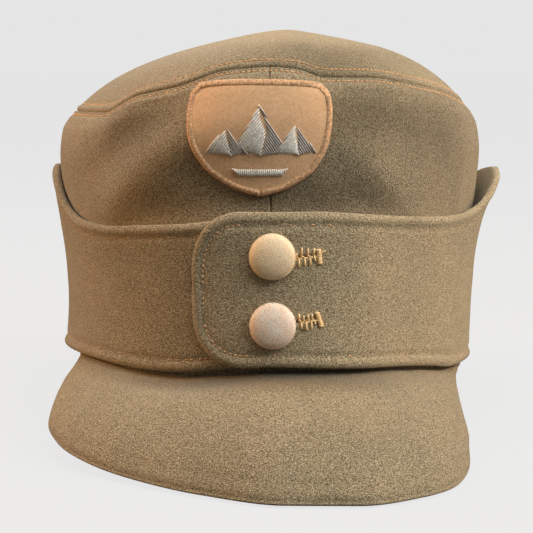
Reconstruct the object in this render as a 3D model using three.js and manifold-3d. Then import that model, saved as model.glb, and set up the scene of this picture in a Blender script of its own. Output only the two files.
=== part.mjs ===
// A mountain cap of felted wool cloth, resting on a table on its peak and the back of its rim.
// Two side panels and an oval top make the stuffed crown. An ear flap of doubled cloth is
// turned up round it and laps over itself at the front, held by two pebbled metal buttons.
// X points to the viewer's right, the peak points along -Y and Z is up. Lengths are in millimetres.
import * as THREE from "three";
import { mergeVertices } from "three/addons/utils/BufferGeometryUtils.js";
import Module from "manifold-3d";

// Rim and crown
const headWidth = 158;
const headLength = 202;
const crownCloth = 2.2;
const rimFrontHeight = 33.4;
const seamFrontHeight = 146.6;
const domeTopHeight = 160.4;
const seamHalfWidth = 82.7;
const seamHalfLength = 101;
const seamSetBack = 10;
const seamSetAside = -0.8;
const domeShift = 6.5;
const domeFlat = 0.12;
const sideBulge = 7.1;
const endBulge = 8.5;
const frontNarrowing = 0.03;
const foldDepth = 4;
const foldSeamFade = 0.06;
const foldFlapFade = 0.05;
const rimTurn = 0.3;
const sewnGap = 0.3;

// Ear flap
const flapCloth = 3.2;
const flapSideHeight = 107;
const flapStandOff = 6.5;
const flapFootStandOff = 3.4;
const flapGap = 0.45;
const flapOverPeak = 0.8;
const tabEnd = -19.5;
const tabUnderEnd = 378;
const tabHighCornerLength = 18;
const tabLowCornerLength = 23;
const tabMiddle = 0.48;
const flareSharpness = 6;

// Peak
const peakThickness = 3.4;
const peakGap = 0.35;
const peakReach = 58.1;
const peakHalfWidth = 86.5;
const peakArch = 5.5;
const peakArchOutwards = 0.35;
const peakEdgeTurn = 0.22;
const peakLeftEnd = -76;
const peakRightEnd = 70;

// Buttons and their buttonholes
const buttonDiameter = 17;
const buttonHeight = 4.2;
const buttonRim = 1.1;
const buttonRimTurn = 0.6;
const buttonSpacing = 25.1;
const upperButtonHeight = 78.3;
const buttonAngle = 0.3;
const shankDiameter = 2.6;
const buttonStand = 0.5;
const buttonholeLength = 16.6;
const slitWidth = 1;
const shankClearance = 0.45;

// Badge
const badgeWidth = 50;
const badgeHeight = 42;
const badgeThickness = 1.1;
const badgeGap = 0.45;
const badgeAngle = -2.5;
const badgeDrop = 26;
const badgeBow = 2.5;

// How finely the surfaces are faceted
const panelColumns = 38;
const wallRows = 12;
const domeRings = 6;
const flapColumns = 84;
const peakColumns = 40;
const peakRows = 6;
const rowCrowding = 1.2;

// Sections round the crown, by angle from the front, positive to the viewer's right.
// rim: height of the rim as a share of rimFrontHeight. seam: height of the top seam
// as a share of seamFrontHeight.
const crownSections = [
  { at: -180, rim: 0, seam: 0.76 },
  { at: -155, rim: 0, seam: 0.768 },
  { at: -138, rim: 0.21, seam: 0.79 },
  { at: -120, rim: 0.42, seam: 0.818 },
  { at: -100, rim: 0.63, seam: 0.848 },
  { at: -82, rim: 0.74, seam: 0.866 },
  { at: -60, rim: 0.8, seam: 0.872 },
  { at: -51, rim: 0.815, seam: 0.877 },
  { at: -45, rim: 0.825, seam: 0.898 },
  { at: -38, rim: 0.83, seam: 0.925 },
  { at: -25, rim: 0.865, seam: 0.95 },
  { at: -11, rim: 0.95, seam: 0.99 },
  { at: 0, rim: 1, seam: 1 },
  { at: 7, rim: 0.99, seam: 0.995 },
  { at: 15, rim: 0.965, seam: 0.974 },
  { at: 27, rim: 0.92, seam: 0.973 },
  { at: 46, rim: 0.8, seam: 0.947 },
  { at: 61, rim: 0.665, seam: 0.921 },
  { at: 82, rim: 0.6, seam: 0.885 },
  { at: 100, rim: 0.49, seam: 0.858 },
  { at: 120, rim: 0.33, seam: 0.822 },
  { at: 138, rim: 0.15, seam: 0.79 },
  { at: 155, rim: 0, seam: 0.768 },
  { at: 180, rim: 0, seam: 0.76 },
];

// The wall from rim to seam. up: share of its height. side and end: shares of sideBulge and
// endBulge at the cap's sides and at its front and back.
const wallProfile = [
  { up: 0, side: 0, end: 0 },
  { up: 0.22, side: 0.08, end: 0.05 },
  { up: 0.4, side: 0.25, end: 0.12 },
  { up: 0.55, side: 0.54, end: 0.32 },
  { up: 0.69, side: 0.84, end: 0.76 },
  { up: 0.82, side: 1, end: 1 },
  { up: 0.92, side: 0.82, end: 0.8 },
  { up: 0.97, side: 0.42, end: 0.45 },
  { up: 1, side: 0, end: 0 },
];

// Soft dents and ridges of the crown wall. at: angle. up: share of the wall's height.
// long and wide: how far it reaches along and across, as shares of the wall's height.
// slant: degrees from level, rising to the right. depth: share of foldDepth, negative for a ridge.
const crownFolds = [
  { at: -35, up: 0.875, long: 0.18, wide: 0.065, slant: 23, depth: 0.8 },
  { at: -36, up: 0.69, long: 0.2, wide: 0.06, slant: 30, depth: -0.5 },
  { at: -4, up: 0.62, long: 0.28, wide: 0.09, slant: 0, depth: 0.5 },
  { at: 20, up: 0.86, long: 0.14, wide: 0.065, slant: 27, depth: 0.75 },
  { at: 27, up: 0.69, long: 0.15, wide: 0.055, slant: -44, depth: -0.55 },
  { at: 37, up: 0.84, long: 0.09, wide: 0.07, slant: 0, depth: 0.3 },
  { at: 60, up: 0.76, long: 0.2, wide: 0.03, slant: 90, depth: -0.3 },
  { at: 66, up: 0.74, long: 0.2, wide: 0.035, slant: 90, depth: 0.3 },
  { at: 128, up: 0.8, long: 0.22, wide: 0.12, slant: -40, depth: 0.45 },
  { at: -132, up: 0.78, long: 0.24, wide: 0.12, slant: 40, depth: 0.45 },
  { at: 180, up: 0.84, long: 0.24, wide: 0.12, slant: 0, depth: 0.5 },
];

// The flap from the tab that laps over, round the back, to the end that lies under the tab.
// turn: angle travelled. over: how far its low edge is above the rim, as a share of the
// peak and its clearance. high: its high edge as a share of flapSideHeight.
// stand and foot: how far its high and low edges stand off the crown, as shares of
// flapStandOff and flapFootStandOff.
const flapSections = [
  { turn: -20, over: 1, high: 0.882, stand: 0, foot: 0 },
  { turn: 0, over: 1, high: 0.882, stand: 0, foot: 0 },
  { turn: 10, over: 1, high: 0.882, stand: 0, foot: 0 },
  { turn: 20, over: 1, high: 0.872, stand: 0, foot: 0 },
  { turn: 33, over: 1, high: 0.851, stand: 0.02, foot: 0 },
  { turn: 46, over: 1, high: 0.832, stand: 0.05, foot: 0 },
  { turn: 58, over: 1, high: 0.822, stand: 0.12, foot: 0 },
  { turn: 67, over: 1, high: 0.832, stand: 0.35, foot: 0 },
  { turn: 75, over: 0.9, high: 0.875, stand: 0.75, foot: 0 },
  { turn: 83, over: 0.6, high: 0.932, stand: 1, foot: 0 },
  { turn: 91, over: 0.4, high: 0.955, stand: 0.95, foot: 0 },
  { turn: 98, over: 0.3, high: 0.94, stand: 0.75, foot: 0 },
  { turn: 106, over: 0.2, high: 0.905, stand: 0.5, foot: 0 },
  { turn: 122, over: 0.1, high: 0.86, stand: 0.25, foot: 0 },
  { turn: 138, over: 0, high: 0.825, stand: 0.18, foot: 0 },
  { turn: 155, over: 0, high: 0.79, stand: 0.25, foot: 0 },
  { turn: 180, over: 0, high: 0.745, stand: 0.3, foot: 0 },
  { turn: 205, over: 0, high: 0.79, stand: 0.2, foot: 0 },
  { turn: 222, over: 0, high: 0.85, stand: 0.1, foot: 0 },
  { turn: 240, over: 0.1, high: 0.9, stand: 0.02, foot: 0.2 },
  { turn: 256, over: 0.4, high: 0.945, stand: 0, foot: 0.8 },
  { turn: 268, over: 0.7, high: 0.965, stand: 0, foot: 1 },
  { turn: 277, over: 0.9, high: 0.942, stand: 0, foot: 1 },
  { turn: 285, over: 1, high: 0.88, stand: 0, foot: 0.9 },
  { turn: 293, over: 1, high: 0.825, stand: 0, foot: 0.6 },
  { turn: 302, over: 1, high: 0.8, stand: 0, foot: 0.2 },
  { turn: 312, over: 1, high: 0.797, stand: 0, foot: 0 },
  { turn: 324, over: 1, high: 0.813, stand: 0, foot: 0 },
  { turn: 336, over: 1, high: 0.828, stand: 0, foot: 0 },
  { turn: 347, over: 1, high: 0.846, stand: 0, foot: 0 },
  { turn: 358, over: 1, high: 0.85, stand: 0, foot: 0 },
  { turn: 378, over: 1, high: 0.85, stand: 0, foot: 0 },
];

// The peak's outer edge, from the viewer's left to right. at: the rim angle that it belongs to.
// side: share of peakHalfWidth. ahead: share of the way from the crown's middle to the
// peak's tip. high: share of rimFrontHeight.
const peakSections = [
  { at: -76, side: -0.88, ahead: 0.218, high: 0.68 },
  { at: -70, side: -0.93, ahead: 0.305, high: 0.52 },
  { at: -63, side: -0.977, ahead: 0.4, high: 0.37 },
  { at: -55, side: -0.993, ahead: 0.493, high: 0.262 },
  { at: -46, side: -0.925, ahead: 0.61, high: 0.164 },
  { at: -37, side: -0.795, ahead: 0.715, high: 0.102 },
  { at: -26, side: -0.6, ahead: 0.808, high: 0.042 },
  { at: -13, side: -0.287, ahead: 0.92, high: 0.006 },
  { at: 0, side: 0.046, ahead: 0.995, high: 0 },
  { at: 13, side: 0.342, ahead: 0.997, high: 0 },
  { at: 26, side: 0.587, ahead: 0.937, high: 0 },
  { at: 38, side: 0.75, ahead: 0.845, high: 0 },
  { at: 50, side: 0.842, ahead: 0.67, high: 0.075 },
  { at: 58, side: 0.832, ahead: 0.528, high: 0.19 },
  { at: 65, side: 0.815, ahead: 0.404, high: 0.3 },
  { at: 70, side: 0.818, ahead: 0.304, high: 0.43 },
];

// The badge's outline. up: share of its height from its point. wide: share of its width.
const badgeSections = [
  { up: 0, wide: 0.22 },
  { up: 0.08, wide: 0.5 },
  { up: 0.25, wide: 0.8 },
  { up: 0.5, wide: 0.96 },
  { up: 0.75, wide: 1 },
  { up: 0.93, wide: 0.97 },
  { up: 1, wide: 0.88 },
];

const wasm = await Module();
wasm.setup();

const rimHalfWidth = headWidth / 2 + crownCloth;
const rimHalfLength = headLength / 2 + crownCloth;
const wool = new THREE.MeshStandardMaterial({ color: 0x7a6f56, roughness: 0.95, metalness: 0 });
const flapWool = new THREE.MeshStandardMaterial({ color: 0x7d735b, roughness: 0.95, metalness: 0 });
const buttonMetal = new THREE.MeshStandardMaterial({ color: 0xb39c7c, roughness: 0.5, metalness: 0.8 });
const badgeCloth = new THREE.MeshStandardMaterial({ color: 0xc08a5c, roughness: 0.9, metalness: 0 });

const radians = (degrees) => THREE.MathUtils.degToRad(degrees);
const mix = THREE.MathUtils.lerp;

// From 0 at one place to 1 at another, with soft ends.
function smooth(from, to, value) {
  const t = THREE.MathUtils.clamp((value - from) / (to - from), 0, 1);
  return t * t * (3 - 2 * t);
}

// A column of a table at a place between its rows, on a curve that doesn't overshoot.
function between(rows, place, column, at) {
  const last = rows.length - 1;
  const spot = THREE.MathUtils.clamp(at, rows[0][place], rows[last][place]);
  let i = 0;
  while (i < last - 1 && spot > rows[i + 1][place]) i += 1;
  const slope = (k) =>
    (rows[k + 1][column] - rows[k][column]) / (rows[k + 1][place] - rows[k][place]);
  const tangent = (k) => {
    if (k === 0 || k === last) return 0;
    const before = slope(k - 1);
    const after = slope(k);
    return before * after <= 0 ? 0 : (2 * before * after) / (before + after);
  };
  const span = rows[i + 1][place] - rows[i][place];
  const t = (spot - rows[i][place]) / span;
  const a = rows[i][column];
  const b = rows[i + 1][column];
  return (
    a * (1 + 2 * t) * (1 - t) ** 2 +
    b * t * t * (3 - 2 * t) +
    span * (tangent(i) * t * (1 - t) ** 2 - tangent(i + 1) * t * t * (1 - t))
  );
}

// An angle brought to the range of the crown's tables.
const wrapped = (angle) => THREE.MathUtils.euclideanModulo(angle + 180, 360) - 180;
const rimHeight = (angle) => rimFrontHeight * between(crownSections, "at", "rim", wrapped(angle));
const seamHeight = (angle) => seamFrontHeight * between(crownSections, "at", "seam", wrapped(angle));

// The flap's high edge above the table, by angle travelled, and at an angle of the crown.
const flapHigh = (turn) => flapSideHeight * between(flapSections, "turn", "high", turn);
const flapHighAt = (angle) => {
  const first = tabUnderEnd - 360;
  return flapHigh(THREE.MathUtils.euclideanModulo(angle - first, 360) + first);
};

// The sum of the crown's dents and ridges at a place on its wall. They fade out beside the
// top seam and behind the flap.
function foldAt(angle, up) {
  let depth = 0;
  for (const fold of crownFolds) {
    const aside = (radians(wrapped(angle - fold.at)) * rimHalfWidth) / (seamFrontHeight - rimFrontHeight);
    const above = up - fold.up;
    const slant = radians(fold.slant);
    const along = (aside * Math.cos(slant) + above * Math.sin(slant)) / fold.long;
    const across = (above * Math.cos(slant) - aside * Math.sin(slant)) / fold.wide;
    depth += fold.depth * Math.exp(-0.5 * (along ** 2 + across ** 2));
  }
  const height = mix(rimHeight(angle), seamHeight(angle), up);
  const clear = (height - flapHighAt(angle)) / flapSideHeight;
  return foldDepth * depth * smooth(1, 1 - foldSeamFade, up) * smooth(-foldFlapFade, foldFlapFade, clear);
}

// A point at an angle on an oval of the cap, which is a little narrower in front. The oval is
// moved by a share of the way from the rim's middle to the top seam's.
function onOval(angle, halfWidth, halfLength, moved, height) {
  const turn = radians(angle);
  const width = halfWidth * (1 - frontNarrowing * Math.cos(turn));
  return new THREE.Vector3(
    width * Math.sin(turn) + seamSetAside * moved,
    seamSetBack * moved - halfLength * Math.cos(turn),
    height,
  );
}

// The level direction out of the cap at an angle.
function outwards(angle) {
  const turn = radians(angle);
  const away = new THREE.Vector3(Math.sin(turn) / rimHalfWidth, -Math.cos(turn) / rimHalfLength, 0);
  return away.normalize();
}

// The crown's outer wall at an angle and a share of its height.
function wallPoint(angle, up) {
  const side = sideBulge * between(wallProfile, "up", "side", up);
  const end = endBulge * between(wallProfile, "up", "end", up);
  const push = mix(side, end, Math.cos(radians(angle)) ** 2) - foldAt(angle, up);
  const halfWidth = mix(rimHalfWidth, seamHalfWidth, up) + push;
  const halfLength = mix(rimHalfLength, seamHalfLength, up) + push;
  return onOval(angle, halfWidth, halfLength, up, mix(rimHeight(angle), seamHeight(angle), up));
}

// The crown's outer wall at an angle and a height above the table.
function wallAtHeight(angle, height) {
  const low = rimHeight(angle);
  const up = (height - low) / (seamHeight(angle) - low);
  return wallPoint(angle, THREE.MathUtils.clamp(up, 0, 1)).setZ(height);
}

// The top panel's outer face. ring: 0 at its highest place, 1 at the seam. It slopes evenly
// from its blunt middle and turns down near the seam.
const domeSlopeShare = 0.55;
const domeShoulder = 5;
function domePoint(angle, ring) {
  const blunt = (place) => Math.hypot(place, domeFlat) - domeFlat;
  const slope = blunt(ring) / blunt(1);
  const share = mix(ring ** domeShoulder, slope, domeSlopeShare);
  const height = mix(domeTopHeight, seamHeight(angle), share);
  const point = onOval(angle, seamHalfWidth * ring, seamHalfLength * ring, 1, height);
  point.x += domeShift * (1 - ring ** 2);
  return point;
}

// The whole outer crown. along: 0 at the rim, 1 at the seam, 2 in the middle of the top.
const crownPoint = (angle, along) =>
  along <= 1 ? wallPoint(angle, along) : domePoint(angle, 2 - along);

// The direction out of the crown's cloth. Beside the top seam it turns to the direction
// half way between the wall's and the top's, so that the two pieces meet in a mitre.
const angleStep = 1;
const alongStep = 0.01;
const mitreReach = 0.05;
function crownFace(angle, along) {
  const plain = (place) => {
    const round = crownPoint(angle + angleStep, place).sub(crownPoint(angle - angleStep, place));
    const low = Math.max(0, place - alongStep);
    const upwards = crownPoint(angle, place + alongStep).sub(crownPoint(angle, low));
    return round.cross(upwards).normalize();
  };
  const mitre = plain(1 - mitreReach).add(plain(1 + mitreReach)).normalize();
  return plain(along).lerp(mitre, smooth(mitreReach, 0, Math.abs(along - 1))).normalize();
}

// The crown's inner face, one thickness of cloth inside its outer one. It turns level at the rim.
function crownInside(angle, along) {
  if (along > 2 - alongStep) return crownPoint(angle, 2).setZ(domeTopHeight - crownCloth);
  const face = crownFace(angle, along);
  face.z *= smooth(0, rimTurn, along);
  return crownPoint(angle, along).addScaledVector(face.normalize(), -crownCloth);
}

// A closed mesh made of four-cornered faces whose corners at one place are one vertex.
function closedMesh(fill) {
  const places = new Map();
  const positions = [];
  const indices = [];
  const corner = (p) => {
    const key = p.toArray().map((value) => Math.round(value * 2000)).join();
    if (!places.has(key)) {
      places.set(key, positions.length / 3);
      positions.push(p.x, p.y, p.z);
    }
    return places.get(key);
  };
  const triangle = (a, b, c) => {
    if (a !== b && b !== c && c !== a) indices.push(a, b, c);
  };
  fill((p, q, r, s) => {
    const [a, b, c, d] = [p, q, r, s].map(corner);
    triangle(a, b, c);
    triangle(a, c, d);
  });
  const geometry = new THREE.BufferGeometry();
  geometry.setAttribute("position", new THREE.Float32BufferAttribute(positions, 3));
  geometry.setIndex(indices);
  return geometry;
}

// A sheet with two faces. face(i, j, side) gives its points, side 1 outside and 0 inside,
// with rows running up and columns running to the viewer's right as seen from outside.
function sheetMesh(columns, rows, face, joined = false) {
  return closedMesh((quad) => {
    const out = (i, j) => face(i, j, 1);
    const into = (i, j) => face(i, j, 0);
    for (let i = 0; i < columns; i += 1) {
      for (let j = 0; j < rows; j += 1) {
        quad(out(i, j), out(i + 1, j), out(i + 1, j + 1), out(i, j + 1));
        quad(into(i, j + 1), into(i + 1, j + 1), into(i + 1, j), into(i, j));
      }
      quad(into(i, 0), into(i + 1, 0), out(i + 1, 0), out(i, 0));
      quad(out(i, rows), out(i + 1, rows), into(i + 1, rows), into(i, rows));
    }
    if (joined) return;
    for (let j = 0; j < rows; j += 1) {
      quad(into(0, j), out(0, j), out(0, j + 1), into(0, j + 1));
      quad(out(columns, j), into(columns, j), into(columns, j + 1), out(columns, j + 1));
    }
  });
}

// One side of the crown, from the front seam to the back seam. side: 1 right, -1 left.
function sidePanel(side) {
  const halfGap = THREE.MathUtils.radToDeg(sewnGap / 2 / seamHalfWidth);
  const low = side > 0 ? halfGap : -180 + halfGap;
  const high = side > 0 ? 180 - halfGap : -halfGap;
  const top = 1 - sewnGap / (seamFrontHeight - rimFrontHeight);
  return sheetMesh(panelColumns, wallRows, (i, j, outer) => {
    const angle = mix(low, high, i / panelColumns);
    const along = top * (1 - (1 - j / wallRows) ** rowCrowding);
    return outer ? crownPoint(angle, along) : crownInside(angle, along);
  });
}

// The oval top, a shallow dome whose edge meets both side panels.
function topPanel() {
  const edge = 1 + sewnGap / seamHalfWidth;
  return sheetMesh(
    panelColumns * 2,
    domeRings,
    (i, j, outer) => {
      const angle = (180 * (i % (panelColumns * 2))) / panelColumns - 180;
      const along = mix(edge, 2, (j / domeRings) ** rowCrowding);
      return outer ? crownPoint(angle, along) : crownInside(angle, along);
    },
    true,
  );
}

// How far the lapping end of the flap stands out over the end that lies under it. It comes
// down to the crown just past that end.
const lapMargin = 3;
const lapSlope = 18;
const lapStart = tabUnderEnd - 360 + lapMargin;
const lapEnd = lapStart + lapSlope;
const lapLift = (turn) => (turn > 180 ? 0 : (flapCloth + flapGap) * smooth(lapEnd, lapStart, turn));

// The share of its height that the tab keeps near its rounded end. Its low corner is rounder.
const tabEndShare = 0.24;
const tabCornerShape = 2.3;
function tabRound(turn, up) {
  const along = radians(turn - tabEnd) * rimHalfWidth;
  const corner = up > tabMiddle ? tabHighCornerLength : tabLowCornerLength;
  const open = 1 - THREE.MathUtils.clamp(along / corner, 0, 1);
  return mix(tabEndShare, 1, Math.sqrt(1 - open ** tabCornerShape));
}

// A point on the flap. up: 0 at its low edge, 1 at its high edge. depth: 0 inside, 1 outside.
function flapPoint(turn, up, depth) {
  const over = (peakThickness + flapOverPeak) * between(flapSections, "turn", "over", turn);
  const low = rimHeight(turn) + over;
  const high = flapHigh(turn);
  const middle = mix(low, high, tabMiddle);
  const height = mix(middle, mix(low, high, up), tabRound(turn, up));
  const standShare = between(flapSections, "turn", "stand", turn) * up ** flareSharpness;
  const footShare = between(flapSections, "turn", "foot", turn) * (1 - up) ** flareSharpness;
  const stand = flapStandOff * standShare + flapFootStandOff * footShare;
  const away = flapGap + lapLift(turn) + stand + flapCloth * depth;
  return wallAtHeight(turn, height).addScaledVector(outwards(turn), away);
}

// The flap's edges are rolled, so its section is a closed loop with rounded ends.
const rollShare = 0.028;
const flapLoop = [
  { up: rollShare, depth: 0 },
  { up: 0, depth: 0.25 },
  { up: 0, depth: 0.75 },
  { up: rollShare, depth: 1 },
  { up: 0.2, depth: 1 },
  { up: 0.4, depth: 1 },
  { up: 0.6, depth: 1 },
  { up: 0.8, depth: 1 },
  { up: 1 - rollShare, depth: 1 },
  { up: 1, depth: 0.75 },
  { up: 1, depth: 0.25 },
  { up: 1 - rollShare, depth: 0 },
  { up: 0.8, depth: 0 },
  { up: 0.6, depth: 0 },
  { up: 0.4, depth: 0 },
  { up: 0.2, depth: 0 },
];

// The ear flap as one strip. Its columns lie closer together at the tab's rounded end.
function earFlap() {
  const roundColumns = 7;
  const roundCrowding = 1.7;
  const roundTurn = THREE.MathUtils.radToDeg(tabLowCornerLength / rimHalfWidth);
  const turnAt = (i) =>
    i <= roundColumns
      ? tabEnd + roundTurn * (i / roundColumns) ** roundCrowding
      : mix(tabEnd + roundTurn, tabUnderEnd, (i - roundColumns) / (flapColumns - roundColumns));
  const point = (i, k) => {
    const { up, depth } = flapLoop[k % flapLoop.length];
    return flapPoint(turnAt(i), up, depth);
  };
  return closedMesh((quad) => {
    const around = flapLoop.length;
    for (let i = 0; i < flapColumns; i += 1)
      for (let k = 0; k < around; k += 1)
        quad(point(i, k), point(i + 1, k), point(i + 1, k + 1), point(i, k + 1));
    for (let k = 0; k < around / 2 - 1; k += 1) {
      const ring = [k, k + 1, around - 2 - k, around - 1 - k];
      quad(...ring.map((n) => point(0, n)));
      quad(...ring.reverse().map((n) => point(flapColumns, n)));
    }
  });
}

// The peak's middle surface, at a rim angle. out: 0 at the rim, 1 at its edge.
function peakMiddle(angle, out) {
  const atRim = wallPoint(angle, 0).addScaledVector(outwards(angle), peakGap);
  atRim.z = rimHeight(angle) + peakThickness / 2;
  const row = (column) => between(peakSections, "at", column, angle);
  const edge = new THREE.Vector3(
    peakHalfWidth * row("side"),
    -(rimHalfLength + peakReach) * row("ahead"),
    rimFrontHeight * row("high") + peakThickness / 2,
  );
  const span = atRim.distanceTo(edge) / peakReach;
  const arch = peakArch * Math.min(1, span) * 4 * out * (1 - out);
  const point = atRim.lerp(edge, out);
  return point.addScaledVector(outwards(angle), arch * peakArchOutwards).setZ(point.z + arch);
}

// A face of the peak, half its thickness over or under the middle surface. Both of its edges
// are upright.
function peakPoint(angle, out, over) {
  const low = Math.max(0, out - alongStep);
  const high = Math.min(1, out + alongStep);
  const forward = peakMiddle(angle, high).sub(peakMiddle(angle, low));
  const left = Math.max(peakLeftEnd, angle - angleStep);
  const right = Math.min(peakRightEnd, angle + angleStep);
  const aside = peakMiddle(right, out).sub(peakMiddle(left, out));
  const face = forward.cross(aside).normalize();
  const upright = smooth(1 - peakEdgeTurn, 1, out) + smooth(peakEdgeTurn, 0, out);
  face.lerp(new THREE.Vector3(0, 0, 1), upright).normalize();
  return peakMiddle(angle, out).addScaledVector(face, (over ? 1 : -1) * (peakThickness / 2));
}

// The peak, a stiffened shade between the rim and its curved edge.
function peak() {
  return sheetMesh(peakColumns, peakRows, (i, j, over) => {
    const angle = mix(peakRightEnd, peakLeftEnd, i / peakColumns);
    return peakPoint(angle, j / peakRows, over);
  });
}

// Where a button's axis meets the tab's outer face, and the turn that takes +Z out of the tab.
function buttonFrame(height) {
  const low = rimHeight(buttonAngle);
  const up = (height - low) / (seamHeight(buttonAngle) - low);
  const face = crownFace(buttonAngle, up);
  const seat = wallAtHeight(buttonAngle, height);
  seat.addScaledVector(outwards(buttonAngle), flapGap + lapLift(buttonAngle) + flapCloth);
  return { seat, turn: new THREE.Quaternion().setFromUnitVectors(new THREE.Vector3(0, 0, 1), face) };
}

// A domed button with a rolled rim and a shank that reaches the cloth under the tab.
function buttonShape() {
  const radius = buttonDiameter / 2;
  const shank = shankDiameter / 2;
  const profile = [new THREE.Vector2(0, -flapCloth), new THREE.Vector2(shank, -flapCloth)];
  profile.push(new THREE.Vector2(shank, buttonStand), new THREE.Vector2(radius - buttonRim, buttonStand));
  profile.push(new THREE.Vector2(radius, buttonStand + buttonRim * buttonRimTurn));
  const steps = 6;
  const rise = buttonHeight - buttonRim;
  for (let i = 0; i <= steps; i += 1) {
    const t = (Math.PI / 2) * (i / steps);
    profile.push(new THREE.Vector2(radius * Math.cos(t), buttonStand + buttonRim + rise * Math.sin(t)));
  }
  profile[profile.length - 1].x = 0;
  return new THREE.LatheGeometry(profile, 24).rotateX(Math.PI / 2);
}

// A three.js mesh as a manifold-3d solid, and back again.
function toSolid(geometry) {
  const plain = geometry.clone();
  plain.deleteAttribute("normal");
  plain.deleteAttribute("uv");
  const merged = mergeVertices(plain, 1e-3);
  const corners = merged.index.array;
  const kept = [];
  for (let i = 0; i < corners.length; i += 3) {
    const [a, b, c] = corners.slice(i, i + 3);
    if (a !== b && b !== c && c !== a) kept.push(a, b, c);
  }
  return new wasm.Manifold(
    new wasm.Mesh({
      numProp: 3,
      vertProperties: new Float32Array(merged.attributes.position.array),
      triVerts: new Uint32Array(kept),
    }),
  );
}
function toGeometry(solid) {
  const { vertProperties, triVerts, numProp } = solid.getMesh();
  const positions = [];
  for (let i = 0; i < vertProperties.length; i += numProp)
    positions.push(vertProperties[i], vertProperties[i + 1], vertProperties[i + 2]);
  const geometry = new THREE.BufferGeometry();
  geometry.setAttribute("position", new THREE.Float32BufferAttribute(positions, 3));
  geometry.setIndex([...triVerts]);
  return geometry;
}

// The hole that a buttonhole cuts through the tab: a slit with a round eye for the shank.
function buttonholeCutter(height) {
  const eye = shankDiameter / 2 + shankClearance;
  const half = slitWidth / 2;
  const shape = new THREE.Shape();
  shape.absarc(0, 0, eye, Math.asin(half / eye), 2 * Math.PI - Math.asin(half / eye), false);
  shape.lineTo(buttonholeLength, -half);
  shape.lineTo(buttonholeLength, half);
  const depth = 2 * (flapCloth + flapGap);
  const cutter = new THREE.ExtrudeGeometry(shape, { depth, bevelEnabled: false, curveSegments: 12 });
  const { seat, turn } = buttonFrame(height);
  cutter.translate(0, 0, -flapCloth - flapGap / 2);
  return cutter.applyQuaternion(turn).translate(seat.x, seat.y, seat.z);
}

const buttonHeights = [upperButtonHeight, upperButtonHeight - buttonSpacing];

// A point of the badge laid on the crown: aside and above its middle, over the cloth.
function badgePoint(aside, above, over) {
  const angle = badgeAngle + THREE.MathUtils.radToDeg(aside / rimHalfWidth);
  const low = rimHeight(angle);
  const height = seamHeight(badgeAngle) - badgeDrop + above;
  const up = (height - low) / (seamHeight(angle) - low);
  const away = badgeGap + (over ? badgeThickness : 0);
  return crownPoint(angle, up).addScaledVector(crownFace(angle, up), away);
}

// The badge, a sewn-on shield of cloth that follows the crown's front.
function badge() {
  const columns = 14;
  const rows = 12;
  return sheetMesh(columns, rows, (i, j, over) => {
    const up = 0.5 - 0.5 * Math.cos((Math.PI * j) / rows);
    const half = (badgeWidth / 2) * between(badgeSections, "up", "wide", up);
    const aside = half * Math.sin((Math.PI / 2) * ((2 * i) / columns - 1));
    const bow = badgeBow * (1 - (2 * i) / columns) ** 2 * up ** 4;
    return badgePoint(aside, badgeHeight * (up - 0.5) - bow, over);
  });
}

const cap = new THREE.Group();
function add(name, geometry, material) {
  const mesh = new THREE.Mesh(geometry, material);
  mesh.name = name;
  cap.add(mesh);
  return mesh;
}

add("crown_panel_left", sidePanel(-1), wool);
add("crown_panel_right", sidePanel(1), wool);
add("crown_top", topPanel(), wool);
let flap = toSolid(earFlap());
for (const height of buttonHeights) flap = flap.subtract(toSolid(buttonholeCutter(height)));
add("ear_flap", toGeometry(flap), flapWool);
add("peak", peak(), wool);
add("badge", badge(), badgeCloth);
["button_upper", "button_lower"].forEach((name, k) => {
  const { seat, turn } = buttonFrame(buttonHeights[k]);
  const button = add(name, buttonShape(), buttonMetal);
  button.quaternion.copy(turn);
  button.position.copy(seat);
});

// The origin lies on the table under the middle of the cap.
cap.updateMatrixWorld(true);
const bounds = new THREE.Box3().setFromObject(cap, true);
const middle = bounds.getCenter(new THREE.Vector3());
cap.position.set(-middle.x, -middle.y, -bounds.min.z);

export default cap;
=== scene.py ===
import math

import bmesh
import bpy
import numpy as np
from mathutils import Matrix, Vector


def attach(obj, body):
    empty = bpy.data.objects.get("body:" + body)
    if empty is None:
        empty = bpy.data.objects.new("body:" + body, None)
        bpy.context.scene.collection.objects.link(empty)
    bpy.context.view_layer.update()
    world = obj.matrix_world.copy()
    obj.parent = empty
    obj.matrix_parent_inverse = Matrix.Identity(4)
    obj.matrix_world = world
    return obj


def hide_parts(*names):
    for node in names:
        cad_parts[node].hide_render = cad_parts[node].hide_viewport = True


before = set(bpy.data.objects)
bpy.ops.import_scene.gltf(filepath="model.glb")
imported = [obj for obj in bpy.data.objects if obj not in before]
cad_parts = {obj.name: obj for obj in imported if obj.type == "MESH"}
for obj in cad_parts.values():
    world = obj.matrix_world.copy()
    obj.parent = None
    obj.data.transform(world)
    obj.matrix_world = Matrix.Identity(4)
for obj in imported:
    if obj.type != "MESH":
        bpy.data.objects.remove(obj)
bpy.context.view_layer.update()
print("frame loaded")

# Where the middle of the rim's oval lies in the frame, in millimetres
rimMiddle = np.array([-2.122, 20.262, 0.0])

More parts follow.
